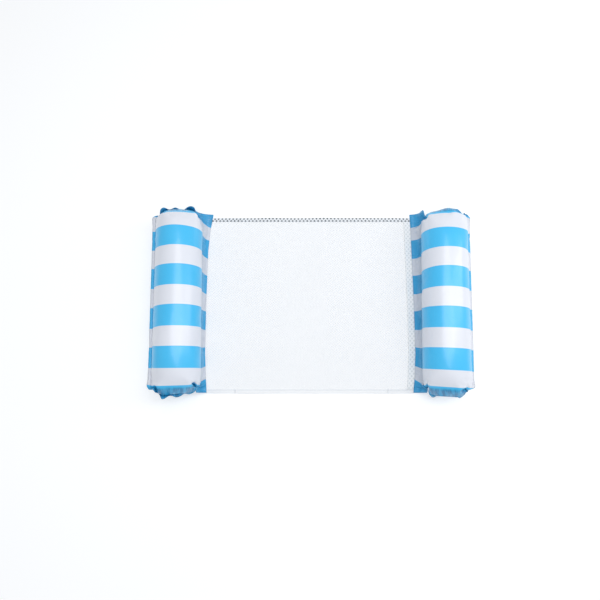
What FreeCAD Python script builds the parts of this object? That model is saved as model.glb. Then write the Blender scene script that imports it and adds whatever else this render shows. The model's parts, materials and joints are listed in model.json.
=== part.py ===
"""Water hammock: two inflated striped pillows joined by a net seat, for floating in a pool.

Row frame in millimetres: +Z up, +X from the head pillow to the foot pillow, +Y across the float.
The origin is on the ground under the middle of the net. The foot pillow is the head pillow turned
half a turn about Z, because both ends of the real float are the same welded sub-assembly.
"""
import FreeCAD, Part
import math
import os
import Sketcher

DOC = FreeCAD.newDocument("WaterHammock")
Vector = FreeCAD.Vector
Rotation = FreeCAD.Rotation
Placement = FreeCAD.Placement

# ---------------------------------------------------------------- driving dimensions
DRIVING = [
    ("floatLength", 1200, "overall length between the outer weld flanges"),
    ("tubeRadius", 87, "radius of an inflated pillow"),
    ("tubeLength", 704, "inflated pillow, from end weld to end weld"),
    ("footFlat", 2, "how far a pillow flattens where it rests"),
    ("filmThickness", 0.35, "printed vinyl film, each panel"),
    ("sideFlange", 13, "width of the weld flange along the outer side of a pillow"),
    ("endFlange", 12, "width of the weld flange across each end of a pillow"),
    ("flangeCorner", 24, "radius at the corners of the weld flange"),
    ("endDepth", 66, "length over which a pillow closes towards its end weld"),
    ("endHalfWidth", 86, "half width of the air space at the end weld"),
    ("endHalfHeight", 1.5, "half height of the air space at the end weld"),
    ("seamRoll", 14, "degrees that the net pulls the inner weld below the middle"),
    ("weldWidth", 6, "width of the weld along the inner side of a pillow"),
    ("flapJog", 1, "length over which a film steps over the edge of the net"),
    ("flapRunOut", 4, "inner weld's edge to the corner where the flap turns down"),
    ("flapBend", 4, "radius of the flap where it turns down"),
    ("flapLean", 14, "how much nearer to the net the flap's foot is than its bend"),
    ("flapLength", 712, "length of the flaps, across the float"),
    ("foldGap", 5, "from a fold line to the first stiff edge on each side"),
    ("netWidth", 700, "width of the net seat"),
    ("netThickness", 0.7, "thickness of the net"),
    ("hemWidth", 15, "width of the tape folded over each long edge of the net"),
    ("hemThickness", 0.35, "thickness of the hem tape"),
    ("threadWidth", 0.6, "width of the run of stitching along a hem"),
    ("threadHeight", 0.25, "height of the run of stitching above the tape"),
    ("stitchInset", 3, "inner edge of the hem tape to the stitching"),
    ("valvePlace", 150, "middle of the pillow to the valve, along the pillow"),
    ("valveDrop", 35, "degrees of the valve below the pillow's outermost line"),
    ("discRadius", 16, "radius of the valve's weld disc"),
    ("discThickness", 0.6, "thickness of the valve's weld disc"),
    ("stemRadius", 6.5, "outer radius of the valve stem"),
    ("stemHeight", 14, "height of the stem above the film"),
    ("spigotLength", 2.5, "length of the stem inside the weld disc"),
    ("valveBore", 4.2, "radius of the bore through the stem"),
    ("plugClearance", 0.05, "radial clearance of the plug in the bore"),
    ("plugLength", 8, "length of the plug's nose"),
    ("plugLead", 0.8, "chamfer on the tip of the plug's nose"),
    ("capRadius", 8, "radius of the plug's cap"),
    ("capThickness", 2, "thickness of the plug's cap"),
    ("pullTabLength", 5, "length of the finger tab on the cap"),
    ("pullTabWidth", 6, "width of the finger tab on the cap"),
    ("tetherRadius", 4.5, "outer radius of the strap between stem and cap"),
    ("tetherThickness", 1, "thickness of the strap"),
    ("tetherWidth", 4, "width of the strap"),
    ("tetherClearance", 0.3, "gap between the strap and the cap"),
    ("checkRadius", 5.6, "radius of the check flap"),
    ("checkThickness", 0.5, "thickness of the check flap"),
    ("checkClearance", 0.1, "gap between the check flap and the spigot"),
    ("tongueWidth", 5, "width of the tongue that the check flap hangs by"),
]

SHEET = DOC.addObject("Spreadsheet::Sheet", "Dimensions")
for row, (alias, value, meaning) in enumerate(DRIVING, start=1):
    SHEET.set(f"A{row}", meaning)
    SHEET.set(f"B{row}", str(value))
    SHEET.setAlias(f"B{row}", alias)
DOC.recompute()


def size(alias):
    """A driving dimension's value, read from the sheet."""
    return float(SHEET.get(alias))


def bind(thing, **formulas):
    """Binds properties to formulas on the sheet. Aliases are written with a leading $."""
    for name, formula in formulas.items():
        thing.setExpression(name.replace("_", "."), formula.replace("$", "Dimensions."))
    return thing


# ---------------------------------------------------------------- places
ROLL = size("seamRoll")
TUBE_X = size("floatLength") / 2 - (size("tubeRadius") + size("sideFlange")) * math.cos(math.radians(ROLL))
TUBE_Z = size("tubeRadius") - size("footFlat")
FLAP_REACH = size("tubeRadius") + size("weldWidth") + size("flapRunOut")
FLAP_FOOT = FLAP_REACH * math.cos(math.radians(ROLL)) + size("flapLean")
FOLD_Z = size("hemThickness") + size("netThickness") / 2
HALF_TURN = {"head": Rotation(), "foot": Rotation(Vector(0, 0, 1), 180)}

FINISHED = []


def finish(thing, label, place=None):
    """Names a sub-part, places it and puts it on the list of files to write."""
    thing.Label = label
    if place is not None:
        thing.Placement = place
    FINISHED.append(thing)
    return thing


def pillow_place(end):
    """Where a piece drawn about the pillow's own axis goes.

    In the drawn frame +X points at the net, +Y runs along the pillow and +Z is up.
    """
    return Placement(Vector(), HALF_TURN[end]).multiply(Placement(Vector(-TUBE_X, 0, TUBE_Z), Rotation()))


def valve_place(end):
    """Where a piece drawn about the valve's axis goes: +Z outwards, with the pillow's axis along Y."""
    outwards = Rotation(Vector(0, 1, 0), -90 - size("valveDrop"))
    return pillow_place(end).multiply(Placement(Vector(0, -size("valvePlace"), 0), outwards))


def solid_feature(name, shape):
    """A document object that holds a shape made by hand."""
    thing = DOC.addObject("Part::Feature", name)
    thing.Shape = shape
    return thing


# ---------------------------------------------------------------- flap path
def offset_corners(corners, radii, aside):
    """The corners of a path shifted to its left by aside, and the radii that keep it parallel."""
    steps = [(b - a).normalize() for a, b in zip(corners, corners[1:])]
    lefts = [Vector(-step.z, 0, step.x) for step in steps]
    shifted = []
    for i, corner in enumerate(corners):
        before, after = lefts[max(i - 1, 0)], lefts[min(i, len(lefts) - 1)]
        shifted.append(corner + (before + after) * (aside / (1 + before.dot(after))))
    new_radii = []
    for step, following, radius in zip(steps, steps[1:], radii):
        turns_left = step.x * following.z - step.z * following.x > 0
        new_radii.append(radius - aside if turns_left else radius + aside)
    return shifted, new_radii


def rounded_edges(corners, radii):
    """Straight runs joined by tangent arcs, as a list of edges."""
    edges, start = [], corners[0]
    for before, corner, after, radius in zip(corners, corners[1:], corners[2:], radii):
        back, on = (before - corner).normalize(), (after - corner).normalize()
        half = back.getAngle(on) / 2
        reach = radius / math.tan(half)
        centre = corner + (back + on).normalize() * (radius / math.sin(half))
        middle = centre + (corner - centre).normalize() * radius
        first, last = corner + back * reach, corner + on * reach
        edges.append(Part.LineSegment(start, first).toShape())
        edges.append(Part.Arc(first, middle, last).toShape())
        start = last
    edges.append(Part.LineSegment(start, corners[-1]).toShape())
    return edges


def flap_sheet(start, low, high, length):
    """A sheet along the flap's path, in the pillow's frame.

    The path leaves the pillow's axis along the weld, turns down at the bend and stops short of the fold.
    start is its distance from the axis, low and high are the sheet's two faces above the path.
    """
    along = Vector(math.cos(math.radians(ROLL)), 0, -math.sin(math.radians(ROLL)))
    bend = along * FLAP_REACH
    foot = Vector(FLAP_FOOT, 0, FOLD_Z - TUBE_Z)
    foot += (bend - foot).normalize() * size("foldGap")
    corners, radii = [along * start, bend, foot], [size("flapBend")]
    near, far = offset_corners(corners, radii, low), offset_corners(corners, radii, high)
    outline = rounded_edges(*near) + rounded_edges(*far)
    outline.append(Part.LineSegment(near[0][0], far[0][0]).toShape())
    outline.append(Part.LineSegment(near[0][-1], far[0][-1]).toShape())
    section = Part.Face(Part.Wire(Part.__sortEdges__(outline)))
    section.translate(Vector(0, -length / 2, 0))
    return section.extrude(Vector(0, length, 0))


# ---------------------------------------------------------------- pillow panels
END_STATIONS = (0.0, 0.3, 0.55, 0.75, 0.9, 0.97, 1.0)


def half_oval(half_width, half_height, along):
    """Closed upper half of an ellipse, in the plane across the pillow at this place along it."""
    centre = Vector(0, along, 0)
    right, left = Vector(half_width, along, 0), Vector(-half_width, along, 0)
    middle = Vector(0, along, half_height)
    if abs(half_width - half_height) < 1e-6:
        bow = Part.Arc(right, middle, left).toShape()
    elif half_width > half_height:
        oval = Part.Ellipse(right, middle, centre)
        bow = Part.ArcOfEllipse(oval, 0, math.pi).toShape()
    else:
        oval = Part.Ellipse(middle, left, centre)
        bow = Part.ArcOfEllipse(oval, -math.pi / 2, math.pi / 2).toShape()
    first, last = bow.Vertexes[0].Point, bow.Vertexes[-1].Point
    return Part.Wire([bow, Part.LineSegment(last, first).toShape()])


def half_pillow(inset):
    """Upper half of the pillow's air space as a solid, grown smaller all round by inset."""
    radius, half_length = size("tubeRadius"), size("tubeLength") / 2
    across, lengthwise = 1 - inset / radius, 1 - inset / half_length
    barrel_half = (half_length - size("endDepth")) * lengthwise
    barrel = Part.Face(half_oval(radius * across, radius * across, -barrel_half))
    body = barrel.extrude(Vector(0, 2 * barrel_half, 0))
    ovals = []
    for share in END_STATIONS:
        along = (half_length - size("endDepth") * (1 - share)) * lengthwise
        width = radius + (size("endHalfWidth") - radius) * share**2
        height = size("endHalfHeight") + (radius - size("endHalfHeight")) * math.sqrt(1 - share**2.2)
        ovals.append(half_oval(width * across, height * across, along))
    cap = Part.makeLoft(ovals, True, False)
    other = cap.mirror(Vector(), Vector(0, 1, 0))
    return body.fuse([cap, other])


def slab(x_range, y_half, z_range):
    """A box given by its limits."""
    width, height = x_range[1] - x_range[0], z_range[1] - z_range[0]
    return Part.makeBox(width, 2 * y_half, height, Vector(x_range[0], -y_half, z_range[0]))


def flange_layer(side):
    """One film's share of the weld flange, with rounded corners. side is 1 for the upper film."""
    x_range = (-size("tubeRadius") - size("sideFlange"), size("tubeRadius") + size("weldWidth"))
    z_range = sorted((0, side * size("filmThickness")))
    plate = slab(x_range, size("tubeLength") / 2 + size("endFlange"), z_range)
    upright = [edge for edge in plate.Edges if abs(edge.tangentAt(edge.FirstParameter).z) > 0.9]
    return plate.makeFillet(size("flangeCorner"), upright)


def film_panel(side):
    """One film: half of the pillow's skin, its flange and its layer of the flap, in the pillow's frame."""
    film, radius, weld_edge = size("filmThickness"), size("tubeRadius"), size("tubeRadius") + size("weldWidth")
    crossing = (Vector(), Vector(0, 1, 0))
    outer, inner = half_pillow(0), half_pillow(film)
    if side < 0:
        outer.rotate(*crossing, 180)
        inner.rotate(*crossing, 180)
    reach = size("netThickness") / 2 + film
    step = slab((weld_edge - size("flapJog"), weld_edge), size("flapLength") / 2, sorted((0, side * reach)))
    flange = flange_layer(side)
    for piece in (outer, inner, step, flange):
        piece.rotate(*crossing, ROLL)
    if side < 0:
        everywhere, under = 2 * radius, (-2 * radius, -TUBE_Z)
        outer = outer.cut(slab((-everywhere, everywhere), size("tubeLength"), under))
        inner = inner.cut(slab((-everywhere, everywhere), size("tubeLength"), (under[0], under[1] + film)))
    low, high = sorted((side * (reach - film), side * reach))
    layer = flap_sheet(weld_edge - size("flapJog"), low, high, size("flapLength"))
    skin = outer.fuse([flange, step, layer]).cut(inner)
    return skin.removeSplitter()


def valve_hole():
    """The hole for the valve stem in the lower film, in the pillow's frame."""
    direction = Rotation(Vector(0, 1, 0), -90 - size("valveDrop")).multVec(Vector(0, 0, 1))
    start = direction * (size("tubeRadius") / 2) + Vector(0, -size("valvePlace"), 0)
    return Part.makeCylinder(size("stemRadius"), size("tubeRadius"), start, direction)


def build_pillow(end, upper, lower, tab):
    for name, shape in (("upper_panel", upper), ("lower_panel", lower), ("net_tab", tab)):
        finish(solid_feature(f"{end}_{name}_solid", shape), f"{end}_{name}", pillow_place(end))


# ---------------------------------------------------------------- inflation valve
def cylinder(name, radius, height, base, turn=None):
    """A Part cylinder whose radius, height and foot along its axis are formulas on the sheet."""
    thing = DOC.addObject("Part::Cylinder", name)
    bind(thing, Radius=radius, Height=height)
    if turn is not None:
        thing.Placement.Rotation = turn
        bind(thing, Placement_Base_y=base)
    else:
        bind(thing, Placement_Base_z=base)
    return thing


def joined(kind, name, *pieces):
    """A Part boolean of two or more document objects."""
    thing = DOC.addObject(kind, name)
    if kind == "Part::Cut":
        thing.Base, thing.Tool = pieces
    else:
        thing.Shapes = list(pieces)
    return thing


def build_valve_body(end):
    """The weld disc, curved to the film, and the stem with its bore, moulded in one."""
    lying = Rotation(Vector(1, 0, 0), -90)
    outer = cylinder(f"{end}DiscOuter", "$tubeRadius - $filmThickness", "2 * $discRadius", "-$discRadius", lying)
    inner = cylinder(f"{end}DiscInner", "$tubeRadius - $filmThickness - $discThickness",
                     "2 * $discRadius", "-$discRadius", lying)
    shell = joined("Part::Cut", f"{end}DiscShell", outer, inner)
    round_cut = cylinder(f"{end}DiscEdge", "$discRadius", "$tubeRadius", "$tubeRadius / 2")
    disc = joined("Part::MultiCommon", f"{end}Disc", shell, round_cut)
    foot = "$tubeRadius - $filmThickness - $discThickness - $spigotLength"
    stem = cylinder(f"{end}Stem", "$stemRadius",
                    "$stemHeight + $filmThickness + $discThickness + $spigotLength", foot)
    solid = joined("Part::MultiFuse", f"{end}ValveSolid", disc, stem)
    bore = cylinder(f"{end}Bore", "$valveBore", "2 * $stemHeight + $spigotLength", "$tubeRadius - $stemHeight")
    return joined("Part::Cut", f"{end}ValveBody", solid, bore)


def build_plug(end):
    """The cap, its finger tab and the nose that closes the bore."""
    cap = cylinder(f"{end}Cap", "$capRadius", "$capThickness", "$tubeRadius + $stemHeight")
    nose = DOC.addObject("Part::Cone", f"{end}NoseLead")
    bind(nose, Radius1="$valveBore - $plugClearance - $plugLead", Radius2="$valveBore - $plugClearance",
         Height="$plugLead", Placement_Base_z="$tubeRadius + $stemHeight - $plugLength")
    shank = cylinder(f"{end}Shank", "$valveBore - $plugClearance", "$plugLength - $plugLead",
                     "$tubeRadius + $stemHeight - $plugLength + $plugLead")
    tab = DOC.addObject("Part::Box", f"{end}PullTab")
    bind(tab, Length="$capRadius + $pullTabLength", Width="$pullTabWidth", Height="$capThickness",
         Placement_Base_x="-$capRadius - $pullTabLength", Placement_Base_y="-$pullTabWidth / 2",
         Placement_Base_z="$tubeRadius + $stemHeight")
    return joined("Part::MultiFuse", f"{end}Plug", cap, nose, shank, tab)


def build_tether(end):
    """The strap that keeps the plug on the stem: a bow from the stem's side up to the cap's edge."""
    standing = Rotation(Vector(1, 0, 0), -90)
    bows = []
    for name, radius in (("Outer", "$tetherRadius"), ("Inner", "$tetherRadius - $tetherThickness")):
        bow = cylinder(f"{end}Tether{name}", radius, "$tetherWidth", "-$tetherWidth / 2", standing)
        bind(bow, Placement_Base_x="$capRadius + $tetherClearance",
             Placement_Base_z="$tubeRadius + $stemHeight + $capThickness - $tetherRadius")
        bows.append(bow)
    ring = joined("Part::Cut", f"{end}TetherRing", *bows)
    keep = DOC.addObject("Part::Box", f"{end}TetherHalf")
    bind(keep, Length="$tetherRadius", Width="2 * $tetherWidth", Height="2 * $tetherRadius",
         Placement_Base_x="$capRadius + $tetherClearance", Placement_Base_y="-$tetherWidth",
         Placement_Base_z="$tubeRadius + $stemHeight + $capThickness - 2 * $tetherRadius")
    bow = joined("Part::MultiCommon", f"{end}TetherBow", ring, keep)
    root = DOC.addObject("Part::Box", f"{end}TetherRoot")
    bind(root, Length="$capRadius + $tetherClearance", Width="$tetherWidth", Height="$tetherThickness",
         Placement_Base_y="-$tetherWidth / 2",
         Placement_Base_z="$tubeRadius + $stemHeight + $capThickness - 2 * $tetherRadius")
    strap = joined("Part::MultiFuse", f"{end}TetherStrap", bow, root)
    around = cylinder(f"{end}TetherFit", "$stemRadius", "2 * $stemHeight", "$tubeRadius")
    return joined("Part::Cut", f"{end}Tether", strap, around)


def sketch_on(body, name, height):
    """A sketch on the body's own XY plane, raised to a height along its Z."""
    plane = next(p for p in body.Origin.OriginFeatures if p.Role == "XY_Plane")
    sketch = body.newObject("Sketcher::SketchObject", name)
    sketch.AttachmentSupport = [(plane, "")]
    sketch.MapMode = "FlatFace"
    return bind(sketch, AttachmentOffset_Base_z=height)


def limit(sketch, name, constraint, formula):
    """Adds a named dimension to a sketch and ties it to the sheet."""
    sketch.renameConstraint(sketch.addConstraint(constraint), name)
    bind(sketch, **{f"Constraints_{name}": formula})


def build_check_flap(end):
    """The film flap that the air pressure holds against the bore, with the tongue that it hangs by."""
    body = DOC.addObject("PartDesign::Body", f"{end}CheckFlap")
    foot = "$tubeRadius - $filmThickness - $discThickness - $spigotLength - $checkClearance - $checkThickness"
    disc = sketch_on(body, f"{end}CheckDisc", foot)
    disc.addGeometry(Part.Circle(Vector(), Vector(0, 0, 1), 1))
    disc.addConstraint(Sketcher.Constraint("Coincident", 0, 3, -1, 1))
    limit(disc, "radius", Sketcher.Constraint("Radius", 0, 1), "$checkRadius")
    tongue = sketch_on(body, f"{end}CheckTongue", foot)
    corners = [Vector(0, -1), Vector(2, -1), Vector(2, 1), Vector(0, 1)]
    for start, stop in zip(corners, corners[1:] + corners[:1]):
        tongue.addGeometry(Part.LineSegment(start, stop))
    for line in range(4):
        tongue.addConstraint(Sketcher.Constraint("Coincident", line, 2, (line + 1) % 4, 1))
        tongue.addConstraint(Sketcher.Constraint("Vertical" if line % 2 else "Horizontal", line))
    tongue.addConstraint(Sketcher.Constraint("Symmetric", 3, 1, 3, 2, -1, 1))
    limit(tongue, "reach", Sketcher.Constraint("DistanceX", 0, 1, 0, 2, 2), "$stemRadius")
    limit(tongue, "width", Sketcher.Constraint("DistanceY", 1, 1, 1, 2, 2), "$tongueWidth")
    for name, sketch in (("DiscPad", disc), ("TonguePad", tongue)):
        pad = body.newObject("PartDesign::Pad", f"{end}{name}")
        pad.Profile = sketch
        bind(pad, Length="$checkThickness")
        body.Tip = pad
    return body


def build_valve(end):
    place = valve_place(end)
    finish(build_valve_body(end), f"{end}_valve_body", place)
    finish(build_plug(end), f"{end}_valve_plug", place)
    finish(build_tether(end), f"{end}_valve_tether", place)
    finish(build_check_flap(end), f"{end}_check_flap", place)


# ---------------------------------------------------------------- net seat, hems and stitching
def box(name, lengths, base):
    """A Part box whose three lengths and lowest corner are formulas on the sheet."""
    thing = DOC.addObject("Part::Box", name)
    bind(thing, Length=lengths[0], Width=lengths[1], Height=lengths[2])
    return bind(thing, Placement_Base_x=base[0], Placement_Base_y=base[1], Placement_Base_z=base[2])


def build_net(end):
    """Half of the net, from the middle fold to the fold at the foot of the flap, with its hems."""
    across = "(2 * $tubeRadius + $sideFlange + $weldWidth + $flapRunOut) * cos($seamRoll * 1deg)"
    fold_x = f"($floatLength / 2 - {across} - $flapLean)"
    long_way = f"{fold_x} - 2 * $foldGap"
    start = "$foldGap" if end == "foot" else f"-({fold_x} - $foldGap)"
    net = box(f"{end}Net", (long_way, "$netWidth", "$netThickness"),
              (start, "-$netWidth / 2", "$hemThickness"))
    finish(net, f"net_{end}_half")
    tape_height = "$netThickness + 2 * $hemThickness"
    places = {
        "front": ("-$netWidth / 2 - $hemThickness", "-$netWidth / 2",
                  "-$netWidth / 2 - $hemThickness + $hemWidth - $stitchInset - $threadWidth / 2"),
        "back": ("$netWidth / 2 + $hemThickness - $hemWidth", "$netWidth / 2 - $hemWidth",
                 "$netWidth / 2 + $hemThickness - $hemWidth + $stitchInset - $threadWidth / 2"),
    }
    for edge, (tape_y, slot_y, thread_y) in places.items():
        tape = box(f"{edge}{end}Tape", (long_way, "$hemWidth", tape_height), (start, tape_y, "0"))
        slot = box(f"{edge}{end}Slot", (long_way, "$hemWidth", "$netThickness"),
                   (start, slot_y, "$hemThickness"))
        finish(joined("Part::Cut", f"{edge}{end}Hem", tape, slot), f"{edge}_hem_{end}_half")
        thread = box(f"{edge}{end}Thread", (long_way, "$threadWidth", "$threadHeight"),
                     (start, thread_y, tape_height))
        finish(thread, f"{edge}_stitching_{end}_half")


# ---------------------------------------------------------------- build and write
def check_document():
    """Stops if an object failed to compute or a sub-part isn't one sound closed solid."""
    for thing in DOC.Objects:
        if "Invalid" in thing.State or "Error" in thing.State:
            raise RuntimeError(f"{thing.Name} failed: {thing.State}")
    for thing in FINISHED:
        shape = thing.Shape
        if shape.isNull() or not shape.isValid() or len(shape.Solids) != 1 or shape.Volume <= 0:
            raise RuntimeError(f"{thing.Label} isn't one sound solid: {len(shape.Solids)} solids")


def main():
    upper, lower = film_panel(1), film_panel(-1).cut(valve_hole())
    half_net = size("netThickness") / 2
    tab = flap_sheet(size("tubeRadius") + size("weldWidth"), -half_net, half_net, size("netWidth"))
    for end in ("head", "foot"):
        build_pillow(end, upper, lower, tab)
        build_valve(end)
        build_net(end)
    DOC.recompute()
    check_document()
    os.makedirs("parts", exist_ok=True)
    for thing in FINISHED:
        thing.Shape.exportStep(f"parts/{thing.Label}.step")
        bounds = thing.Shape.optimalBoundingBox()
        print(f"{thing.Label:22s} {thing.Shape.Volume:10.1f} mm3  x {bounds.XMin:8.2f} {bounds.XMax:8.2f}"
              f"  y {bounds.YMin:8.2f} {bounds.YMax:8.2f}  z {bounds.ZMin:7.2f} {bounds.ZMax:7.2f}")


main()
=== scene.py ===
import json
import math

import bmesh
import bpy
from mathutils import Matrix, Vector, noise

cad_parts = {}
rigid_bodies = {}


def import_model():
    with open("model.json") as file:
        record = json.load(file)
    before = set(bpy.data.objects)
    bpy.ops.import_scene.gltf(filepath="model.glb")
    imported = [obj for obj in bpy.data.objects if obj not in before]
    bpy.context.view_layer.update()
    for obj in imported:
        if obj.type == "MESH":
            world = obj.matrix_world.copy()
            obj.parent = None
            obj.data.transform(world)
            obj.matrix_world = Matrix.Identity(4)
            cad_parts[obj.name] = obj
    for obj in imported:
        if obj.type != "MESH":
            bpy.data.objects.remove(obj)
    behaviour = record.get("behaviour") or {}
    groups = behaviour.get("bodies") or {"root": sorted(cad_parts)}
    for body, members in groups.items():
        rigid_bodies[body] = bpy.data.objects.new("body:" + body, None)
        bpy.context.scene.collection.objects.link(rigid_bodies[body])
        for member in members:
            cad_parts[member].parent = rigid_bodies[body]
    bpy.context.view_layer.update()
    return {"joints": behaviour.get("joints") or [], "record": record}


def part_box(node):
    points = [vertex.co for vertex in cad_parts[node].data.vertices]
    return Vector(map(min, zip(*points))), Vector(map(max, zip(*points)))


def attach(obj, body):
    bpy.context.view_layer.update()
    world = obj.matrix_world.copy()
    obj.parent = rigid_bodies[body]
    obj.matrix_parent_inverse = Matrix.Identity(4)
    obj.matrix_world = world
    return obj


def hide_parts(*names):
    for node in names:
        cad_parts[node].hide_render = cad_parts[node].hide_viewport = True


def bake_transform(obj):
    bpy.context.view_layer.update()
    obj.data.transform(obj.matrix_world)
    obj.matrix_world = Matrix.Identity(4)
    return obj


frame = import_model()
mm = 0.001


# shader helpers


class Wire:  # an output socket that takes part in sums
    def __init__(self, paint, socket):
        self.paint, self.socket = paint, socket

    def sum(self, operation, a, b):
        return self.paint.add("ShaderNodeMath", {"operation": operation}, {0: a, 1: b})

    def __add__(self, other):
        return self.sum("ADD", self, other)

    def __sub__(self, other):
        return self.sum("SUBTRACT", self, other)

    def __mul__(self, other):
        return self.sum("MULTIPLY", self, other)

    __radd__ = __add__
    __rmul__ = __mul__


class Paint:  # one material and its nodes
    def __init__(self, name, fixed):
        self.material = bpy.data.materials.new(name)
        self.material.use_nodes = True
        self.tree = self.material.node_tree
        self.shader = self.tree.nodes["Principled BSDF"]
        for socket, value in fixed.items():
            self.shader.inputs[socket].default_value = value

    def add(self, kind, settings, inputs, output=0):
        node = self.tree.nodes.new(kind)
        for key, value in settings.items():
            setattr(node, key, value)
        for key, value in inputs.items():
            self.feed(node.inputs[key], value)
        return Wire(self, node.outputs[output])

    def feed(self, socket, value):
        if isinstance(value, Wire):
            self.tree.links.new(value.socket, socket)
        else:
            socket.default_value = value

    def mix(self, share, a, b):
        # sockets 0, 6, 7 and output 2 are the colour ones
        return self.add(
            "ShaderNodeMix", {"data_type": "RGBA"}, {0: share, 6: a, 7: b}, 2
        )

    def rise(self, value, start, end, low=0.0, high=1.0):
        return self.add(
            "ShaderNodeMapRange",
            {"interpolation_type": "SMOOTHSTEP"},
            {"Value": value, "From Min": start, "From Max": end, "To Min": low, "To Max": high},
        )

    def uv(self, layer):
        place = self.add("ShaderNodeUVMap", {"uv_map": layer}, {})
        return [
            self.add("ShaderNodeSeparateXYZ", {}, {0: place}, axis) for axis in (0, 1)
        ]

    def point(self, x, y, z=0.0):
        return self.add("ShaderNodeCombineXYZ", {}, {0: x, 1: y, 2: z})

    def cloudy(self, place, scale, detail=3.0, roughness=0.5):
        return self.add(
            "ShaderNodeTexNoise",
            {"noise_dimensions": "3D"},
            {"Vector": place, "Scale": scale, "Detail": detail, "Roughness": roughness},
        )

    def object(self):
        return self.add("ShaderNodeTexCoord", {}, {}, 3)

    def emboss(self, height, strength, distance):
        bump = self.add(
            "ShaderNodeBump",
            {},
            {"Strength": strength, "Distance": distance, "Height": height},
        )
        self.feed(self.shader.inputs["Normal"], bump)

    def colour(self, value):
        self.feed(self.shader.inputs["Base Color"], value)

    def rough(self, value):
        self.feed(self.shader.inputs["Roughness"], value)


# finishes

film = {
    "pitch": 150 * mm,  # stripes repeat along the flat film
    "whiteHalf": 36 * mm,  # half of the middle white band
    "inkEdge": 0.5 * mm,
    "white": (0.79, 0.81, 0.875, 1),
    "whiteShade": (0.75, 0.775, 0.845, 1),
    "blue": (0.068, 0.550, 0.930, 1),
    "blueShade": (0.052, 0.505, 0.885, 1),
    # pressed film colours, used for the welded margin and also as painted shade on the flaps
    "pressedAndShadedWhite": (0.62, 0.66, 0.74, 1),
    "pressedAndShadedBlue": (0.03, 0.34, 0.66, 1),
    # painted shade in the creases of the gathered ends
    "creaseShadeBlue": (0.005, 0.18, 0.40, 1),
    "gatheredFrom": 338 * mm,
    "gatheredTo": 360 * mm,
    "puckerReach": 34 * mm,  # how far the puckers run in from the weld
    "gloss": 0.32,
    "relief": 1.6 * mm,
}


def printedFilm(name, flapShading=0.0):
    # stripes across the flat film; the uv map "seal" is the distance outside the weld
    # the last argument is how far the whole piece goes towards the pressed colours, as painted
    # shade
    paint = Paint(name, {"IOR": 1.52, "Coat Roughness": 0.12, "Coat Weight": 0.2})
    across, along = paint.uv("flat")
    outside = paint.uv("seal")[0]
    distance = paint.add("ShaderNodeMath", {"operation": "ABSOLUTE"}, {0: along})
    band = paint.add(
        "ShaderNodeMath", {"operation": "PINGPONG"}, {0: distance, 1: film["pitch"] / 2}
    )
    ink = paint.rise(
        band, film["whiteHalf"] - film["inkEdge"], film["whiteHalf"] + film["inkEdge"]
    )
    place = paint.point(across, along)
    soft = paint.cloudy(place, 14, 3)
    white = paint.mix(soft, film["white"], film["whiteShade"])
    blue = paint.mix(soft, film["blue"], film["blueShade"])
    printed = paint.mix(ink, white, blue)
    # painted shade: film gathered into the end welds is creased, and its folds are painted a
    # deeper blue for the shade in them
    gather = paint.rise(distance, film["gatheredFrom"], film["gatheredTo"])
    crease = paint.cloudy(paint.point(across * 70, along * 10), 1.0, 3, 0.6)
    foldShade = paint.rise(crease, 0.40, 0.58, 0.5, 1.0)
    printed = paint.mix(gather * foldShade * 0.92, printed, film["creaseShadeBlue"])
    # the welded margin is pressed flat, so it is a little darker and duller; the same colours
    # also carry the flaps' painted shade
    sealed = paint.rise(outside, 0.0, 1.2 * mm)
    pressedAndShaded = paint.mix(ink, film["pressedAndShadedWhite"], film["pressedAndShadedBlue"])
    paint.colour(paint.mix(sealed * 0.16 + flapShading, printed, pressedAndShaded))
    smear = paint.cloudy(paint.point(across * 3.0, along), 30, 4)
    paint.rough(film["gloss"] - 0.06 + smear * 0.12 + sealed * 0.12)
    # puckers that run out of the weld, a fine welding knurl, and film that is never quite flat
    nearWeld = paint.rise(outside, -film["puckerReach"], 0.0)
    pucker = paint.cloudy(paint.point(across * 14, along * 105), 1.0, 2)
    wide = paint.cloudy(paint.point(across * 16, along * 26), 1.0, 2)
    knurl = paint.add(
        "ShaderNodeTexChecker",
        {},
        {"Vector": place, "Color1": (1, 1, 1, 1), "Color2": (0, 0, 0, 1), "Scale": 900.0},
        1,
    )
    paint.emboss(
        crease * gather * 4.0 + pucker * nearWeld * 3.2 + wide * 0.6 + knurl * sealed * 0.15,
        0.75,
        film["relief"],
    )
    return paint.material


def netYarn(name, pale, grey, rough=0.62):
    # matt spun yarn
    paint = Paint(name, {"IOR": 1.5, "Sheen Weight": 0.15})
    place = paint.object()
    lot = paint.cloudy(place, 38, 3)
    fibre = paint.cloudy(place, 1800, 2)
    paint.colour(paint.mix(lot * 0.55 + fibre * 0.25, pale, grey))
    paint.rough(rough + fibre * 0.2)
    paint.emboss(fibre, 0.35, 0.2 * mm)
    return paint.material


def openTape(name, cloth, openingShade):
    # white tape knitted with rows of diamond openings, which are painted darker as painted shade
    # seen through them
    paint = Paint(name, {"IOR": 1.5, "Sheen Weight": 0.1})
    run, inward = paint.uv("flat")
    halfLong, halfWide, firstRow = 7.5 * mm, 9 * mm, 3.0 * mm
    alongRun = paint.add("ShaderNodeMath", {"operation": "PINGPONG"}, {0: run, 1: halfLong})
    acrossRun = paint.add(
        "ShaderNodeMath", {"operation": "PINGPONG"}, {0: inward - firstRow, 1: halfWide}
    )
    cell = alongRun * (1 / halfLong) + acrossRun * (1 / halfWide)
    opening = paint.rise(cell, 0.62, 0.50) + paint.rise(cell, 1.38, 1.50)
    fibre = paint.cloudy(paint.object(), 1500, 2)
    tone = paint.mix(fibre * 0.35, cloth, (0.68, 0.71, 0.76, 1))
    # painted shade: the openings take the shade colour
    paint.colour(paint.mix(opening, tone, openingShade))
    paint.rough(0.68 + fibre * 0.2)
    paint.emboss(fibre * 0.5 - opening, 0.4, 0.4 * mm)
    return paint.material


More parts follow.
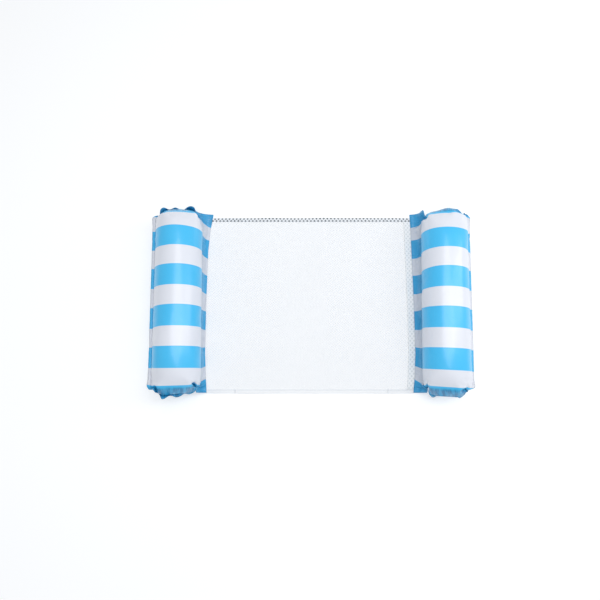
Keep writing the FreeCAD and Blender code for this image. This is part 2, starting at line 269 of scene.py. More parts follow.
def mouldedVinyl(name, tone, shade, rough):
    # cloudy moulded plastic
    paint = Paint(name, {"IOR": 1.52, "Coat Weight": 0.15, "Coat Roughness": 0.25})
    place = paint.object()
    flow = paint.cloudy(place, 120, 3)
    grain = paint.cloudy(place, 2600, 2)
    paint.colour(paint.mix(flow, tone, shade))
    paint.rough(rough + flow * 0.10)
    paint.emboss(flow * 0.6 + grain * 0.4, 0.22, 0.15 * mm)
    return paint.material


filmFinish = printedFilm("printedFilm")
# painted shade: each flap goes towards the darker pressed colours all over, the foot flap more
# than the head flap, for the shade it lies in
shadedFlapFinish = {
    "head": printedFilm("printedHeadFlapShaded", 0.65),
    "foot": printedFilm("printedFootFlapShaded", 0.84),
}
netFinish = netYarn("netYarn", (0.63, 0.66, 0.70, 1), (0.53, 0.57, 0.62, 1))
hemFinish = netYarn("hemYarn", (0.80, 0.83, 0.87, 1), (0.70, 0.74, 0.80, 1))
tapeFinish = {
    # painted shade: the back tape has near-black openings and greyer cloth, the front tape
    # near-white openings, and the foot band grey openings, for the shade that falls under each
    "back": openTape("backHemTape", (0.88, 0.90, 0.92, 1), (0.05, 0.065, 0.065, 1)),
    "front": openTape("frontHemTape", (0.97, 0.97, 0.97, 1), (0.93, 0.94, 0.94, 1)),
    "foot": openTape("footBandTape", (0.96, 0.97, 0.97, 1), (0.74, 0.78, 0.79, 1)),
}
threadFinish = netYarn("thread", (0.62, 0.66, 0.73, 1), (0.5, 0.54, 0.6, 1), 0.5)
valveFinish = mouldedVinyl("valveVinyl", (0.74, 0.80, 0.86, 1), (0.66, 0.73, 0.80, 1), 0.32)
plugFinish = mouldedVinyl("plugVinyl", (0.70, 0.77, 0.84, 1), (0.60, 0.68, 0.77, 1), 0.36)
checkFinish = mouldedVinyl("checkVinyl", (0.60, 0.70, 0.80, 1), (0.52, 0.62, 0.73, 1), 0.30)
print("finishes made")


# camera, floor and light

view = {
    "lens": 28.56,
    "place": (0.0, -0.353, 1.84),
    "tilt": 11.2,  # degrees, towards the back
    "shift": -0.0195,  # of the picture's width
}
eye = bpy.data.cameras.new("eye")
eye.lens, eye.sensor_width, eye.shift_x = view["lens"], 36, view["shift"]
eye.clip_start, eye.clip_end = 0.05, 50
camera = bpy.data.objects.new("eye", eye)
camera.location = view["place"]
camera.rotation_euler = (math.radians(view["tilt"]), 0, 0)
bpy.context.scene.collection.objects.link(camera)
bpy.context.scene.camera = camera


def meshPiece(name, points, faces, finish, smooth=True):
    mesh = bpy.data.meshes.new(name)
    mesh.from_pydata(points, [], faces)
    mesh.update()
    piece = bpy.data.objects.new(name, mesh)
    bpy.context.scene.collection.objects.link(piece)
    mesh.materials.append(finish)
    if smooth:
        mesh.shade_smooth()
    return piece


studio = {
    "floorHalf": 9.0,
    "floor": (0.60, 0.61, 0.62, 1),
    "world": (0.93, 0.96, 1.0, 1),
    "worldPower": 0.50,
    "floorShade": (0.57, 0.58, 0.60, 1),
    "floorGlow": 0.47,
}


def makeFloor():
    paint = Paint(
        "paleFloor",
        {
            "Specular IOR Level": 0.15,
            "Emission Color": (1, 1, 1, 1),
            "Emission Strength": studio["floorGlow"],
        },
    )
    tone = paint.cloudy(paint.object(), 1.2, 2)
    paint.colour(paint.mix(tone * 0.3, studio["floor"], studio["floorShade"]))
    paint.rough(0.8 + tone * 0.1)
    half = studio["floorHalf"]
    floor = meshPiece(
        "floor",
        [(-half, -half, 0), (half, -half, 0), (half, half, 0), (-half, half, 0)],
        [(0, 1, 2, 3)],
        paint.material,
        False,
    )


def softBox(name, place, aim, size, power):
    lamp = bpy.data.lights.new(name, "AREA")
    lamp.shape, lamp.size, lamp.size_y = "RECTANGLE", size[0], size[1]
    lamp.energy = power
    stand = bpy.data.objects.new(name, lamp)
    stand.location = place
    stand.rotation_mode = "QUATERNION"
    stand.rotation_quaternion = (Vector(aim) - Vector(place)).to_track_quat("-Z", "Y")
    bpy.context.scene.collection.objects.link(stand)


makeFloor()
world = bpy.data.worlds.new("studio")
world.use_nodes = True
sky = world.node_tree.nodes["Background"]
sky.inputs["Color"].default_value = studio["world"]
sky.inputs["Strength"].default_value = studio["worldPower"]
bpy.context.scene.world = world
bpy.context.scene.view_settings.view_transform = "Standard"
softBox("overhead", (0.2, 0.2, 3.2), (0, 0, 0), (2.2, 2.4), 50)
softBox("rightStrip", (2.2, 0.5, 2.0), (0, 0, 0.1), (0.7, 3.0), 22)
print("studio made")


# the two pillows

pillow = {
    "radius": 87 * mm,
    "halfWidth": 136.6 * mm,  # weld to middle, flat
    "halfLength": 403 * mm,
    "corner": 100 * mm,
    "outerMargin": 12 * mm,
    "innerMargin": 8 * mm,
    "endMargin": 12 * mm,
    "step": 9 * mm,
    "frames": 52,
    "pressure": 12.0,
    "filmDouble": 0.8 * mm,
    "flapWidth": 45 * mm,
    "settled": 5 * mm,  # the tube lies a little nearer the front than its flap
    "endFrom": 0.29,  # where the ends begin to draw in
    "frill": 9 * mm,
    "frillPitch": 56 * mm,
    "flapRows": 9,
    "roll": (20, 8),  # degrees of the seams, and how much more the flap pulls the inner one down
    "reach": (-0.348, 0.366),  # of the flap's foot, front and back
    "footZ": 1.2 * mm,
    "spread": 3 * mm,  # height below which the film spreads on what it rests on
}


def weldDistance(x, y):
    # how far outside the rounded weld outline a flat point lies
    corner = pillow["corner"]
    acrossBy = abs(x) - (pillow["halfWidth"] - corner)
    alongBy = abs(y) - (pillow["halfLength"] - corner)
    reach = math.hypot(max(acrossBy, 0), max(alongBy, 0))
    return reach + min(max(acrossBy, alongBy), 0) - corner


def ruled(marks, step):
    # grid lines about a step apart that pass through every mark
    lines = []
    for start, end in zip(marks, marks[1:]):
        count = max(1, round((end - start) / step))
        lines += [start + (end - start) * i / count for i in range(count)]
    return lines + [marks[-1]]


def flatBlank(seed):
    # two layers of film inside the weld and one outside it, as a grid that meets the weld
    p = pillow
    half, length, nudge = p["halfWidth"], p["halfLength"], 1e-5
    columns = ruled([-half - p["outerMargin"], -half, half, half + p["innerMargin"]], p["step"])
    rows = ruled([-length - p["endMargin"], -length, length, length + p["endMargin"]], p["step"])
    blank = {"points": [], "flat": [], "distance": [], "faces": [], "sealed": []}
    side, top, under = {}, {}, {}
    for j, y in enumerate(rows):
        for i, x in enumerate(columns):
            away = weldDistance(x, y)
            px, py = x, y
            inCorner = (
                abs(x) > half - p["corner"] * 1.1 and abs(y) > length - p["corner"] * 1.1
            )
            if inCorner and abs(away) < p["step"] / 2:
                slopeX = (weldDistance(x + nudge, y) - away) / nudge
                slopeY = (weldDistance(x, y + nudge) - away) / nudge
                px, py, away = x - slopeX * away, y - slopeY * away, 0
            if abs(away) < 1e-9:
                away = 0
            side[i, j] = away
            lift = noise.noise(Vector((px * 20, py * 20, seed * 7.3))) * 4 * mm
            for layer, height in ((top, 2 * mm), (under, -2 * mm)):
                if away >= 0 and layer is under:
                    under[i, j] = top[i, j]
                    continue
                layer[i, j] = len(blank["points"])
                height = height + lift * 0.3 if away < 0 else lift
                blank["points"].append((px, py, height))
                blank["flat"].append((px, py))
                blank["distance"].append(away)
    for j in range(len(rows) - 1):
        for i in range(len(columns) - 1):
            ring = [(i, j), (i + 1, j), (i + 1, j + 1), (i, j + 1)]
            parts = [ring]
            away = [side[k] for k in ring]
            if min(away) < 0 < max(away):
                a, b, c, d = ring
                parts = (
                    [[a, b, d], [b, c, d]] if away[0] * away[2] < 0 else [[a, b, c], [a, c, d]]
                )
            for part in parts:
                if min(side[k] for k in part) < 0:
                    blank["faces"].append([top[k] for k in part])
                    blank["faces"].append([under[k] for k in part][::-1])
                    blank["sealed"] += [False, False]
                else:
                    blank["faces"].append([top[k] for k in part])
                    blank["sealed"].append(True)
    last = len(columns) - 1
    blank["innerEdge"] = [(top[last, j], rows[j]) for j in range(len(rows))]
    return blank


def inflated(blank):
    # air at an even pressure swells the welded blank; flat film hardly stretches
    mesh = bpy.data.meshes.new("blank")
    mesh.from_pydata(blank["points"], [], blank["faces"])
    bag = bpy.data.objects.new("blank", mesh)
    bpy.context.scene.collection.objects.link(bag)
    air = bag.vertex_groups.new(name="air")
    puffed = set()
    for face, sealed in zip(blank["faces"], blank["sealed"]):
        if not sealed:
            puffed.update(face)
    air.add(sorted(puffed), 1.0, "REPLACE")
    cloth = bag.modifiers.new("film", "CLOTH")
    film = cloth.settings
    film.quality, film.mass, film.air_damping = 8, 0.4, 2.0
    film.tension_stiffness = film.compression_stiffness = 60
    film.shear_stiffness, film.bending_stiffness = 40, 0.6
    film.tension_damping = film.compression_damping = film.shear_damping = 10
    film.bending_damping = 1
    film.use_pressure, film.uniform_pressure_force = True, pillow["pressure"]
    film.vertex_group_pressure = "air"
    film.effector_weights.gravity = 0
    cloth.collision_settings.use_collision = False
    scene = bpy.context.scene
    scene.frame_start, scene.frame_end = 1, pillow["frames"]
    cloth.point_cache.frame_start, cloth.point_cache.frame_end = 1, pillow["frames"]
    for step in range(1, pillow["frames"] + 1):
        scene.frame_set(step)
    shape = bag.evaluated_get(bpy.context.evaluated_depsgraph_get()).data
    points = [v.co.copy() for v in shape.vertices]
    bpy.data.objects.remove(bag)
    bpy.data.meshes.remove(mesh)
    scene.frame_set(1)
    return points


def centred(blank, points):
    # the middle stretch of the tube is brought to the pillow's radius and axis
    inner = [
        p
        for p, (_, y), away in zip(points, blank["flat"], blank["distance"])
        if abs(y) < 0.2 and away <= 0
    ]
    midX = (min(p.x for p in inner) + max(p.x for p in inner)) / 2
    midZ = (min(p.z for p in inner) + max(p.z for p in inner)) / 2
    endY = (min(p.y for p in points) + max(p.y for p in points)) / 2
    shifted = [Vector((p.x - midX, p.y - endY, p.z - midZ)) for p in points]
    radius = sum(math.hypot(p.x - midX, p.z - midZ) for p in inner) / len(inner)
    grow = pillow["radius"] / radius
    print(f"tube radius {radius * 1000:.1f} mm, made {grow:.3f} times as large")
    return [Vector((p.x * grow, p.y, p.z * grow)) for p in shifted]


shaping = {
    "slot": 12 * mm,  # the rows that the tube is evened out in
    "evenTo": 0.33,
    "rounding": 0.75,
    "roundTo": 0.20,
    "roundFade": 0.13,
    "seamOut": 1.5 * mm,  # the seams stand a little outside the round
    "frillDepth": 16 * mm,
    "frillFrom": 0.30,
    "frillFade": 0.05,
    "looseCorner": 60 * mm,
    "cornerCurl": 0.45,
    "endBand": 20 * mm,
    "marginFrill": 0.4,
    "lobe": 4 * mm,
    "lobeOffset": 13 * mm,
    "lobeFade": 50 * mm,
    "cornerTuck": 2 * mm,
    "puckerPitch": 15 * mm,
    "pucker": 3.4 * mm,
    "puckerTo": 0.32,
    "puckerFade": 0.06,
}


def tidied(blank, points, s, flip):
    # even air pressure rounds the tube, and the gathered ends draw in
    radius, slot, seed = pillow["radius"], shaping["slot"], s["seed"]
    reach = {flip: s["ends"][1], -flip: -s["ends"][0]}
    left, right = {}, {}
    for p, away in zip(points, blank["distance"]):
        if away <= 0:
            key = round(p.y / slot)
            left[key] = min(left.get(key, 0.0), p.x)
            right[key] = max(right.get(key, 0.0), p.x)

    def between(table, y):
        key = min(max(y, -shaping["evenTo"]), shaping["evenTo"]) / slot
        low = math.floor(key)
        return table[low] + (table[low + 1] - table[low]) * (key - low)

    ends = {
        1: max(p.y for p, a in zip(points, blank["distance"]) if a <= 0),
        -1: min(p.y for p, a in zip(points, blank["distance"]) if a <= 0),
    }
    moves = {}
    for v, (p, away) in enumerate(zip(points, blank["distance"])):
        if away > 0:
            continue
        q = p.copy()
        west, east = between(left, p.y), between(right, p.y)
        q.x = (p.x - (west + east) / 2) * (radius + shaping["seamOut"]) * 2 / (east - west)
        middle = 1 - eased((abs(p.y) - shaping["roundTo"]) / shaping["roundFade"])
        ring = math.hypot(q.x, q.z)
        wanted = ring + (radius - ring) * shaping["rounding"] * middle
        q.x, q.z = q.x * wanted / ring, q.z * wanted / ring
        side = 1 if p.y > 0 else -1
        start = pillow["endFrom"]
        beyond = abs(p.y) - start
        if beyond > 0:
            room = abs(ends[side]) - start
            q.y = side * (start + beyond * (reach[side] - start) / room)
        # the gathered end weld runs in waves
        near = math.exp(-abs(away) / shaping["frillDepth"])
        near *= eased((abs(p.y) - shaping["frillFrom"]) / shaping["frillFade"])
        q.z += pillow["frill"] * near * wavy(p.x, side, seed)
        moves[v] = q
    welded = [v for v in moves if blank["distance"][v] == 0]
    made = []
    for v, p in enumerate(points):
        if v in moves:
            made.append(moves[v])
            continue
        fx, fy = blank["flat"][v]
        near = min(
            welded,
            key=lambda w: (blank["flat"][w][0] - fx) ** 2 + (blank["flat"][w][1] - fy) ** 2,
        )
        away = blank["distance"][v] / pillow["endMargin"]
        q = p + moves[near] - points[near]
        sideways, endways = abs(fx) - pillow["halfWidth"], abs(fy) - pillow["halfLength"]
        if min(sideways, endways) > -shaping["looseCorner"]:
            # loose corners curl in towards their weld
            q = moves[near].lerp(q, shaping["cornerCurl"])
        if endways > -shaping["endBand"]:
            side = 1 if fy > 0 else -1
            q.z += pillow["frill"] * shaping["marginFrill"] * away * wavy(p.x, side, seed)
            inside = eased(-sideways / shaping["lobeFade"])
            lobe = shaping["lobe"] * wavy(p.x + shaping["lobeOffset"], side, seed)
            q.y += side * away * (lobe * inside - shaping["cornerTuck"] * (1 - inside))
        elif fx < 0:
            # the outer margin stands straight out and puckers along its edge
            turn = 3 * noise.noise(Vector((fy * 14, 0, seed)))
            pucker = math.sin(fy * 2 * math.pi / shaping["puckerPitch"] + turn)
            drop = s["marginDrop"]
            straight = Vector((-math.cos(drop), 0, -math.sin(drop)))
            out = moves[near] + straight * blank["distance"][v]
            out.z += shaping["pucker"] * away * pucker
            fade = eased((abs(fy) - shaping["puckerTo"]) / shaping["puckerFade"])
            q = out.lerp(q, fade)
        made.append(q)
    return made


def eased(share):
    # 0 to 1 with a soft start and end
    share = min(1.0, max(0.0, share))
    return share * share * (3 - 2 * share)


def wavy(x, side, seed):
    # the gathers along an end weld, from -1 to 1
    turn = noise.noise(Vector((x * 9, side * 2.3, seed)))
    return math.sin(x * 2 * math.pi / pillow["frillPitch"] + side + seed + 2.5 * turn)


def uvLayer(piece, name, values):
    layer = piece.data.uv_layers.new(name=name)
    for loop in piece.data.loops:
        layer.data[loop.index].uv = values[loop.vertex_index]


def finer(piece, levels, thickness=0.0):
    # subdivides a piece, and gives a single sheet its thickness
    bpy.context.view_layer.objects.active = piece
    smooth = piece.modifiers.new("finer", "SUBSURF")
    smooth.levels = smooth.render_levels = levels
    smooth.boundary_smooth = "PRESERVE_CORNERS"
    if thickness:
        wall = piece.modifiers.new("wall", "SOLIDIFY")
        wall.thickness, wall.offset = thickness, 0
    shape = piece.evaluated_get(bpy.context.evaluated_depsgraph_get())
    mesh = bpy.data.meshes.new_from_object(shape)
    piece.modifiers.clear()
    piece.data = mesh
    mesh.name = piece.name
    mesh.shade_smooth()


def sub(blank, points, keep):
    # the faces that keep accepts, as their own points
    index, faces = {}, []
    for number, face in enumerate(blank["faces"]):
        if keep(number, face):
            faces.append([index.setdefault(v, len(index)) for v in face])
    order = sorted(index, key=index.get)
    return [points[v] for v in order], faces, order


# footX is how far the flap's foot bows away from footLine, by place across the float
sides = {
    "head": {
        "seed": 1,
        "turn": 0,
        "splay": 2.0,
        "marginDrop": 0.15,
        "ends": (-0.353, 0.365),
        "footLine": 0.415,
        "footX": [
            (-0.345, 0.0165),
            (-0.30, 0.012),
            (-0.2, 0.004),
            (0, 0),
            (0.21, -0.001),
            (0.30, 0.005),
            (0.36, 0.014),
        ],
    },
    "foot": {
        "seed": 4,
        "turn": 180,
        "splay": -2.0,
        "marginDrop": 0.85,
        "ends": (-0.358, 0.365),
        "footLine": 0.4015,
        "footX": [
            (-0.345, 0.016),
            (-0.30, 0.010),
            (-0.2, 0.002),
            (0, 0),
            (0.21, 0.001),
            (0.30, 0.001),
            (0.36, 0.003),
        ],
    },
}
# where places along the flat flap end up once the net draws it in
flapPull = [(0, 0), (0.185, 0.176), (0.265, 0.253), (0.335, 0.302), (0.415, 0.357)]


def along(table, value):
    # straight runs between a table's points
    for (a, x), (b, y) in zip(table, table[1:]):
        if value <= b:
            return x + (y - x) * max(0.0, (value - a) / (b - a))
    return table[-1][1]


def flapEnd(y):
    # how far the flap's foot reaches on the side that y is on
    front, back = pillow["reach"]
    return back if y > 0 else -front


def footY(flip, y):
    # how far across the float a row of the flap ends up once it is gathered
    sign = flip * (1 if y > 0 else -1)
    flatEnd, drawnEnd = flapPull[-1]
    longer = (flapEnd(sign) / drawnEnd - 1) * (abs(y) / flatEnd)
    return sign * along(flapPull, abs(y)) * (1 + longer)


def footPlace(side, y):
    # where the flap's foot meets the net, for a place across the float
    s = sides[side]
    toNet = s["footLine"] - along(s["footX"], y)
    return Vector((-toNet if side == "head" else toNet, y, pillow["footZ"]))


def tubePlace(side):
    # the middle of the pillow's axis
    rest = next(m for m in frame["record"]["mounts"] if m["name"] == side + "_rest")
    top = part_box(side + "_upper_panel")[1].z
    return Vector((rest["pos_m"][0], 0, top - pillow["radius"]))


def valvePlace(side):
    # where the stem goes through the film, and the way it points
    pull = next(j for j in frame["joints"] if j["name"] == side + "_plug_pull")
    outward = Vector(pull["axis"])
    low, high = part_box(side + "_valve_body")
    seat = tubePlace(side) + outward * pillow["radius"]
    return Vector((seat.x, (low.y + high.y) / 2, seat.z)), outward


def isFlap(blank, face):
    # whether a face of the blank lies beyond the inner weld
    return sum(blank["flat"][v][0] for v in face) / len(face) > pillow["halfWidth"]


def makePillow(side):
    # one pillow: its air chamber, its welded margin and its flap
    s = sides[side]
    blank = flatBlank(s["seed"])
    flip = -1 if s["turn"] else 1
    points = tidied(blank, centred(blank, inflated(blank)), s, flip)
    turn = Matrix.Rotation(math.radians(s["turn"] + s["splay"]), 3, "Z")
    axis = tubePlace(side)
    roll, innerRoll = pillow["roll"]
    spread = pillow["spread"]
    placed = []
    for p in points:
        angle = math.atan2(p.z, p.x)
        angle -= math.radians(roll + innerRoll * math.cos(angle))
        ring = math.hypot(p.x, p.z)
        q = turn @ Vector((ring * math.cos(angle), p.y, ring * math.sin(angle))) + axis
        q.y -= pillow["settled"]
        # the underside spreads a little where it rests
        if q.z < spread:
            q.z = spread * math.exp((q.z - spread) / spread)
        placed.append(q)
    flat = [(x, y * flip) for x, y in blank["flat"]]

    # the air chamber
    shape, faces, order = sub(blank, placed, lambda n, f: not blank["sealed"][n])
    tube = meshPiece(side + "_pillow", shape, faces, filmFinish)
    crease = tube.data.attributes.new("crease_edge", "FLOAT", "EDGE")
    for edge in tube.data.edges:
        if all(blank["distance"][order[v]] == 0 for v in edge.vertices):
            crease.data[edge.index].value = 1.0
    uvLayer(tube, "flat", [flat[v] for v in order])
    uvLayer(tube, "seal", [(min(blank["distance"][v], 0), 0) for v in order])
    finer(tube, 1)
    valveSeat(tube, side)
    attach(tube, side + "_pillow")
    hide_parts(side + "_upper_panel", side + "_lower_panel")

    # the welded margin outside and at the ends
    shape, faces, order = sub(
        blank, placed, lambda n, f: blank["sealed"][n] and not isFlap(blank, f)
    )
    margin = meshPiece(side + "_margin", shape, faces, filmFinish)
    uvLayer(margin, "flat", [flat[v] for v in order])
    uvLayer(margin, "seal", [(max(blank["distance"][v], 0), 0) for v in order])
    finer(margin, 1, pillow["filmDouble"])
    margin.parent = tube

    makeFlap(side, blank, placed, flat)
    print(side, "pillow made")


flapShape = {
    "curtain": 0.33,  # where the margin hangs straight from its weld
    "curtainFrom": 0.40,
    "curtainFade": 0.08,
    "tipFrom": 0.375,  # where the ends are drawn out to the flap's corners
    "tipFade": 0.04,
    "slack": 2.5 * mm,
    "endSlack": 7 * mm,
    "lift": 0.8,  # of the ripple, upwards
    "kneeRise": 2 * mm,
    "weldFrom": 0.85,  # share of the flap where the weld to the net begins
}


def makeFlap(side, blank, placed, flat):
    # the inner margin and the double film that goes down to the net
    s, half = sides[side], pillow["halfWidth"]
    flip = -1 if s["turn"] else 1
    shape, faces, order = sub(blank, placed, lambda n, f: blank["sealed"][n] and isFlap(blank, f))
    flatOf = [flat[v] for v in order]
    sealOf = [(max(blank["distance"][v], 0), 0) for v in order]
    previous = [order.index(v) for v, y in blank["innerEdge"]]
    for point, (v, y) in zip(previous, blank["innerEdge"]):
        # the inner margin hangs down from its weld towards the foot
        reachY = footY(flip, y)
        foot = footPlace(side, reachY)
        low = shape[point]
        if abs(y) < flapShape["curtain"]:
            weld = min(
                (w for w in order if blank["distance"][w] == 0),
                key=lambda w: abs(blank["flat"][w][1] - y)
                + 0.3 * abs(blank["flat"][w][0] - half),
            )
            down = (foot - placed[weld]).normalized()
            low = placed[weld] + down * pillow["innerMargin"]
        share = eased((flapShape["curtainFrom"] - abs(y)) / flapShape["curtainFade"])
        shape[point] = shape[point].lerp(low, share)
        stretch = eased((abs(y) - flapShape["tipFrom"]) / flapShape["tipFade"])
        far = math.copysign(flapEnd(reachY), reachY)
        shape[point].y += (far - shape[point].y) * stretch
    starts = [shape[v] for v in previous]
    rows = pillow["flapRows"]
    for row in range(1, rows + 1):
        share = row / rows
        current = []
        for start, (v, y) in zip(starts, blank["innerEdge"]):
            end = footPlace(side, footY(flip, y))
            # film is fuller than its span, more so by the ends, so it ripples
            slack = flapShape["slack"] + flapShape["endSlack"] * (abs(y) / flapPull[-1][0]) ** 4
            ripple = noise.noise(Vector((y * 24, share * 1.3, s["seed"] * 3.1)))
            ripple += 0.5 * noise.noise(Vector((y * 60, share * 2.2, s["seed"] * 5.7)))
            bend = math.sin(math.pi * share) * (slack * (0.5 + 1.6 * ripple))
            # it drops from the weld, then lies along the floor to the net
            kneeY, kneeZ = start.y * 0.4 + end.y * 0.6, end.z + flapShape["kneeRise"]
            knee = Vector((start.x, kneeY, kneeZ))
            point = start * (1 - share) ** 2 + knee * 2 * share * (1 - share) + end * share**2
            point.x += bend * (1 if side == "head" else -1)
            point.z += abs(bend) * flapShape["lift"]
            current.append(len(shape))
            shape.append(point)
            out = half + pillow["innerMargin"] + share * pillow["flapWidth"]
            flatOf.append((out, y * flip))
            welded = share > flapShape["weldFrom"]
            sealOf.append((1.5 * mm if welded else -4 * mm, 0))
        for a, b, c, d in zip(previous, previous[1:], current[1:], current):
            faces.append([a, d, c, b])
        previous = current
    flap = meshPiece(side + "_flap", shape, faces, shadedFlapFinish[side])
    uvLayer(flap, "flat", flatOf)
    uvLayer(flap, "seal", sealOf)
    finer(flap, 1, pillow["filmDouble"])
    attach(flap, side + "_pillow")
    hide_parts(side + "_net_tab")


def valveSeat(tube, side):
    # near the valve the film follows the weld disc, and it is open under the stem
    stem, outward = valvePlace(side)
    axis = tubePlace(side)
    near, seat, disc, rim, hole, cut = -50 * mm, 34 * mm, 18 * mm, 14 * mm, 6.3 * mm, 6.2 * mm
    mesh = tube.data

    def fromStem(point):
        # height over the seat, and the step aside from the stem's axis
        off = point - stem
        height = off.dot(outward)
        return height, off - outward * height

    for vertex in mesh.vertices:
        p = vertex.co
        height, aside = fromStem(p)
        if height < near:
            continue
        if aside.length < seat:
            share = eased(1 - max(0.0, (aside.length - disc) / (seat - disc)))
            ray = Vector((p.x - axis.x, 0, p.z - axis.z)).normalized()
            wanted = Vector((axis.x, p.y, axis.z)) + ray * pillow["radius"]
            vertex.co = p.lerp(wanted, share)
    work = bmesh.new()
    work.from_mesh(mesh)
    gone = []
    for face in work.faces:
        height, aside = fromStem(face.calc_center_median())
        if height > near and aside.length < cut:
            gone.append(face)
    bmesh.ops.delete(work, geom=gone, context="FACES")
    for vertex in work.verts:
        if any(e.is_boundary for e in vertex.link_edges):
            height, aside = fromStem(vertex.co)
            if height > near and aside.length < rim:
                vertex.co = stem + outward * height + aside.normalized() * hole
    work.to_mesh(mesh)
    work.free()
    mesh.shade_smooth()


for side in sides:
    makePillow(side)


# the net seat

net = {
    "pitch": 5 * mm,  # between strands
    "stitch": 6 * mm,  # one zigzag
    "strand": 1.25 * mm,
    "thick": 0.7 * mm,
    "half": 0.350,
    "hem": 15 * mm,
    "cuts": (-0.300, 0.300),
    "swell": 2.2 * mm,
    "rest": 1.2 * mm,  # height of the net's underside over the floor
    "calmWithin": 0.06,  # it lies still near its clamped ends
    "riseFrom": 0.322,
    "edgeFrom": 0.325,
    "band": 27 * mm,  # of closer net at the foot flap
    "yarnShare": 0.42,  # how much of the net's area is yarn
}
seatLength = sides["head"]["footLine"] + sides["foot"]["footLine"]


def netPlace(x, y):
    # a point of the seat from its flat place, lying on the floor and rising to the foot flap
    start, end = footPlace("head", y), footPlace("foot", y)
    share = (x + sides["head"]["footLine"]) / seatLength
    px = start.x + (end.x - start.x) * share
    rise = eased((px - net["riseFrom"]) / (end.x - net["riseFrom"]))
    swell = noise.noise(Vector((px * 5.0, y * 6.5, 2.7))) + 0.5
    calm = min(1.0, max(0.0, (px - start.x) / net["calmWithin"]))
    calm *= min(1.0, max(0.0, (end.x - px) / net["calmWithin"]))
    z = net["rest"] + max(0.0, swell) * net["swell"] * calm + (end.z - net["rest"]) * rise
    # the long edges wave a little
    edge = max(0.0, (abs(y) - net["edgeFrom"]) / (net["half"] - net["edgeFrom"])) ** 2
    wave = noise.noise(Vector((px * 9, 5.1 if y > 0 else 9.4, 0)))
    side = 1 if y > 0 else -1
    py = y + side * edge * wave * 2.2 * mm * calm
    z += edge * (1.5 + 2.5 * abs(wave)) * mm * calm
    return Vector((px, py, z))


def strandMesh(lines, wide, thick):
    # three-sided yarn along each line of points, closed at its ends
    points, faces = [], []
    aside, up = Vector((0, wide / 2, 0)), Vector((0, 0, thick))
    for line in lines:
        base = len(points)
        last = len(line) - 1
        for p in line:
            points += [p - aside, p + aside, p + up]
        for k in range(last):
            a = base + 3 * k
            for i in range(3):
                j = (i + 1) % 3
                faces.append((a + i, a + j, a + 3 + j, a + 3 + i))
        faces.append((base + 2, base + 1, base))
        end = base + 3 * last
        faces.append((end, end + 1, end + 2))
    return points, faces


def zigzag(x0, x1, y, amplitude, period, phase):
    # a strand's points, turning at every half period
    count = round((x1 - x0) / (period / 2))
    line = []
    for k in range(count + 1):
        x = x0 + (x1 - x0) * k / count
        up = 1 if (k + phase) % 2 else -1
        line.append(netPlace(x, y + up * amplitude))
    return line


def netSpan(name, x0, x1, parity):
    # neighbouring strands meet at their turns, which makes the diamonds
    clear = net["half"] - net["hem"]
    count = round(2 * clear / net["pitch"])
    lines = []
    for k in range(count + 1):
        y = -clear + 2 * clear * k / count
        lines.append(zigzag(x0, x1, y, net["pitch"] / 2, net["stitch"], k + parity))
    points, faces = strandMesh(lines, net["strand"], net["thick"])
    return meshPiece(name, points, faces, netFinish, False)


def hemSpan(name, x0, x1, side):
    # tape folded over the edge: an under layer, a round outer fold and an upper layer
    edge, width = net["half"] * side, net["hem"]
    profile = [
        (width, -0.35), (width * 0.5, -0.5), (1.2 * mm, -0.6), (0, 0.0), (0.2 * mm, 0.9),
        (1.6 * mm, 1.35), (width * 0.5, 1.25), (width * 0.93, 1.1), (width, 0.75),
    ]
    count = round((x1 - x0) / (7.5 * mm))
    points, faces, uvs = [], [], []
    for k in range(count + 1):
        x = x0 + (x1 - x0) * k / count
        for inward, up in profile:
            place = netPlace(x, edge - side * inward)
            points.append(place + Vector((0, 0, up * mm)))
            uvs.append((x, inward))
    n = len(profile)
    for k in range(count):
        for i in range(n):
            j = (i + 1) % n
            face = (k * n + i, k * n + j, (k + 1) * n + j, (k + 1) * n + i)
            faces.append(face if side > 0 else face[::-1])
    ends = [tuple(range(n)), tuple(count * n + i for i in reversed(range(n)))]
    faces += ends if side > 0 else [e[::-1] for e in ends]
    hem = meshPiece(name, points, faces, tapeFinish["back" if side > 0 else "front"])
    uvLayer(hem, "flat", uvs)
    return hem


def latticeSpan(name, x0, x1, side):
    # the coarse diamond knit that shows on the hem
    lines = []
    for k, inward in enumerate((3.2, 9.2)):
        y = side * (net["half"] - inward * mm)
        line = zigzag(x0, x1, y, 2.6 * mm, 15 * mm, k)
        lines.append([p + Vector((0, 0, 1.2 * mm)) for p in line])
    for inward in (0.5, 14.4):
        y = side * (net["half"] - inward * mm)
        line = zigzag(x0, x1, y, 0.0, 15 * mm, 0)
        lines.append([p + Vector((0, 0, 0.9 * mm)) for p in line])
    points, faces = strandMesh(lines, 0.9 * mm, 0.6 * mm)
    return meshPiece(name, points, faces, hemFinish, False)


def footBand(name, x0, x1):
    # the net is turned under where the foot flap clamps it, which makes a closer band
    columns, rows = 8, 140
    half = net["half"] - net["hem"]
    points, faces, uvs = [], [], []
    for j in range(rows + 1):
        y = -half + 2 * half * j / rows
        for i in range(columns + 1):
            x = x0 + (x1 - x0) * i / columns
            points.append(netPlace(x, y) + Vector((0, 0, 1.0 * mm)))
            uvs.append((x, y))
    for j in range(rows):
        for i in range(columns):
            a = j * (columns + 1) + i
            faces.append((a, a + 1, a + columns + 2, a + columns + 1))
    band = meshPiece(name, points, faces, tapeFinish["foot"])
    uvLayer(band, "flat", uvs)
    finer(band, 0, 0.5 * mm)
    return band


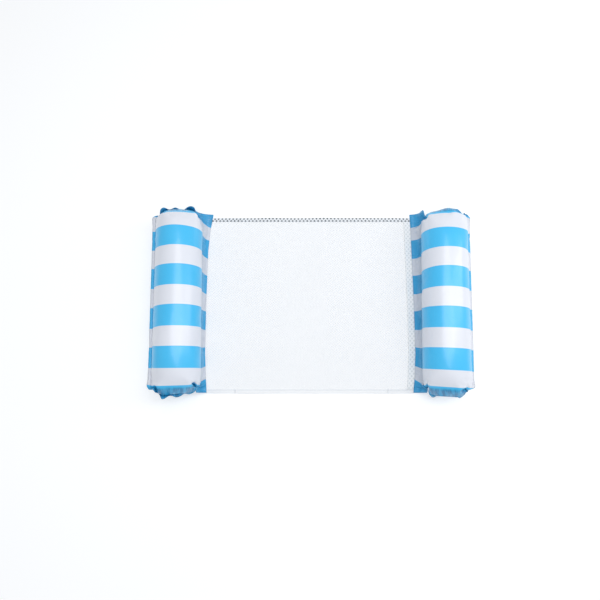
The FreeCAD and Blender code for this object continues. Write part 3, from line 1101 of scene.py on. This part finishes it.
def stitchSpan(name, x0, x1, side):
    # short lock stitches along the hem's inner edge
    pitch, length, wide = 4.0 * mm, 2.9 * mm, 0.7 * mm
    y = side * (net["half"] - net["hem"] + 3.2 * mm)
    lines = []
    for k in range(int((x1 - x0) / pitch)):
        x = x0 + (k + 0.12) * pitch
        dips = ((0, 1.05), (0.25, 1.70), (0.75, 1.70), (1, 1.05))
        lines.append(
            [netPlace(x + part * length, y) + Vector((0, 0, up * mm)) for part, up in dips]
        )
    points, faces = strandMesh(lines, wide, wide * 0.65)
    return meshPiece(name, points, faces, threadFinish, False)


foldX = abs(next(j for j in frame["joints"] if j["name"] == "head_pillow_swing")["pos_m"][0])
headEnd, footEnd = -sides["head"]["footLine"], sides["foot"]["footLine"]
headCut, footCut = net["cuts"]
# each span's ends, the bodies it joins, and where it bends from one to the other
spans = {
    "head": (
        (headEnd, headCut),
        ("head_pillow", "net_head_side"),
        (-foldX - 8 * mm, -foldX + 34 * mm),
    ),
    "middle": (
        (headCut, footCut),
        ("net_head_side", "net_foot_side"),
        (-30 * mm, 30 * mm),
    ),
    "foot": (
        (footCut, footEnd),
        ("net_foot_side", "foot_pillow"),
        (foldX - 34 * mm, foldX + 2 * mm),
    ),
}
stands = {"head": "net_head_half", "foot": "net_foot_half", "middle": None}
parity = 0
for place, ((x0, x1), bodies, bend) in spans.items():
    seat = netSpan("net_" + place, x0, x1, parity)
    pieces = []
    for edge, side in (("back", 1), ("front", -1)):
        hem = hemSpan(f"{edge}_hem_{place}", x0, x1, side)
        lattice = latticeSpan(f"{edge}_hem_knit_{place}", x0, x1, side)
        stitches = stitchSpan(f"{edge}_stitches_{place}", x0, x1, side)
        if stands[place]:
            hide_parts(f"{edge}_hem_{place}_half")
            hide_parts(f"{edge}_stitching_{place}_half")
        pieces += [hem, lattice, stitches]
    if place == "foot":
        band = footBand("foot_net_band", x1 - net["band"], x1)
        pieces.append(band)
    if stands[place]:
        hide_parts(stands[place])
    for piece in [seat, *pieces]:
        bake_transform(piece)
    x1 - x0
    ["floor"] if place == "middle" else [place + "_flap"]
    (x1 - x0) * 2 * net["half"] * net["yarnShare"]
    parity += round((x1 - x0) / (net["stitch"] / 2))
print("net made")


# the valves keep their CAD shapes

for side in sides:
    for node, finish in (
        ("valve_body", valveFinish),
        ("valve_tether", valveFinish),
        ("valve_plug", plugFinish),
        ("check_flap", checkFinish),
    ):
        moulding = bpy.data.objects[f"{side}_{node}"]
        moulding.data.materials.clear()
        moulding.data.materials.append(finish)
print("valves finished")
